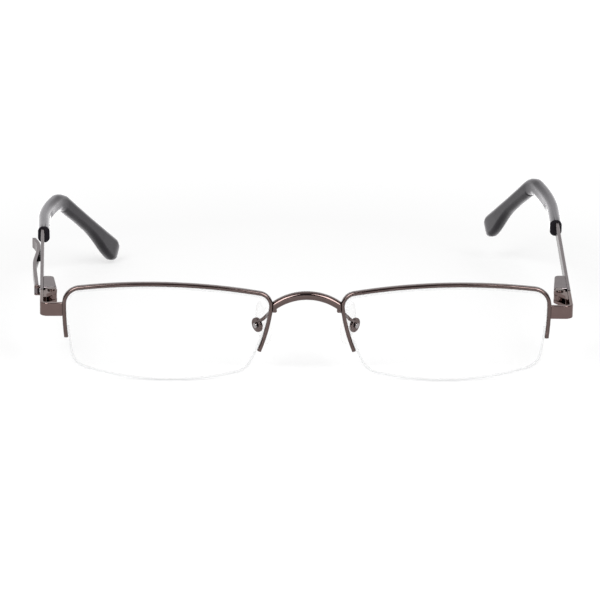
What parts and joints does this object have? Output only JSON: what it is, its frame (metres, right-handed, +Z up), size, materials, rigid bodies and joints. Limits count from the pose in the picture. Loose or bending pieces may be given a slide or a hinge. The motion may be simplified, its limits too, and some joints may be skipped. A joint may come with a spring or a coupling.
{
  "type": "half-rim rectangular reading glasses",
  "caption": "Half-rim rectangular reading glasses with a nylon-held lens pair, spring hinges, nose pads, moulded temple tips and a pocket clip on one temple.",
  "frame": {"origin": "on the surface that the open glasses rest on, under the middle of their box", "axes": "+X to the wearer's left, front towards -Y, temples back along +Y, +Z up"},
  "size_m": [0.139, 0.14, 0.03],
  "materials": {
    "lacquer": "glossy dark brown gunmetal lacquer",
    "lacquer_temple": "glossy brown gunmetal lacquer",
    "steel": "plain turned steel",
    "spring_steel": "drawn spring wire",
    "brass": "plain turned brass",
    "clear_liner": "clear moulded strip",
    "nylon": "clear nylon monofilament",
    "lens": "polished clear lens plastic",
    "silicone": "soft clear silicone",
    "black_tip": "glossy black moulding",
    "black_rubber": "matt black"
  },
  "bodies": {
    "front": {"bridge": "lacquer", "right_rim": "lacquer", "right_rim_liner": "clear_liner", "right_lens": "lens", "right_nylon_line": "nylon", "right_end_piece": "lacquer", "right_hinge_leaf": "lacquer", "right_hinge_screw": "steel", "right_pad_arm": "lacquer", "right_pad_cup": "lacquer", "left_rim": "lacquer", "left_rim_liner": "clear_liner", "left_lens": "lens", "left_nylon_line": "nylon", "left_end_piece": "lacquer", "left_hinge_leaf": "lacquer", "left_hinge_screw": "steel", "left_pad_arm": "lacquer", "left_pad_cup": "lacquer"},
    "right_slider": {"right_hinge_slider": "lacquer", "right_slider_nut": "steel"},
    "right_temple": {"right_spring_case": "lacquer_temple", "right_stop_bush": "brass", "right_slider_spring": "spring_steel", "right_temple_bar": "lacquer_temple", "right_temple_tip": "black_tip", "clip_bracket": "lacquer", "clip_pin": "lacquer"},
    "right_pad": {"right_nose_pad": "silicone", "right_pad_rivet": "steel"},
    "left_slider": {"left_hinge_slider": "lacquer", "left_slider_nut": "steel"},
    "left_temple": {"left_spring_case": "lacquer_temple", "left_stop_bush": "brass", "left_slider_spring": "spring_steel", "left_temple_bar": "lacquer_temple", "left_temple_tip": "black_tip"},
    "left_pad": {"left_nose_pad": "silicone", "left_pad_rivet": "steel"},
    "clip": {"pocket_clip": "lacquer_temple", "clip_pad": "black_rubber"}
  },
  "joints": [
    {"name": "right_fold", "type": "hinge", "parent": "front", "child": "right_slider", "pos_m": [-0.06355, -0.05661, 0.01895], "axis": [0, 0.0576, -0.9983], "range_deg": [-8, 85]},
    {"name": "right_spring", "type": "slide", "parent": "right_slider", "child": "right_temple", "axis": [-0.0183, 0.9982, 0.0576], "range_m": [0, 0.0014], "stiffness_N_per_m": 900, "springref_m": -0.0008, "deforming": ["right_slider_spring"]},
    {"name": "left_fold", "type": "hinge", "parent": "front", "child": "left_slider", "pos_m": [0.06455, -0.05661, 0.01895], "axis": [0, -0.0958, 0.9954], "range_deg": [-8, 72]},
    {"name": "left_spring", "type": "slide", "parent": "left_slider", "child": "left_temple", "axis": [0.0183, 0.9952, 0.0958], "range_m": [0, 0.0014], "stiffness_N_per_m": 900, "springref_m": -0.0008, "deforming": ["left_slider_spring"]},
    {"name": "right_pad_tilt", "type": "hinge", "parent": "front", "child": "right_pad", "pos_m": [-0.01175, -0.06162, 0.0127], "axis": [-0.121, -0.0879, 0.9888], "range_deg": [-8, 8]},
    {"name": "left_pad_tilt", "type": "hinge", "parent": "front", "child": "left_pad", "pos_m": [0.01275, -0.06162, 0.0127], "axis": [0.121, -0.0879, 0.9888], "range_deg": [-8, 8]},
    {"name": "clip_flex", "type": "hinge", "parent": "right_temple", "child": "clip", "pos_m": [-0.06724, -0.05199, 0.01922], "axis": [0, -0.0576, 0.9983], "range_deg": [0, 7], "stiffness_Nm_per_rad": 1, "springref_deg": -2.86}
  ]
}
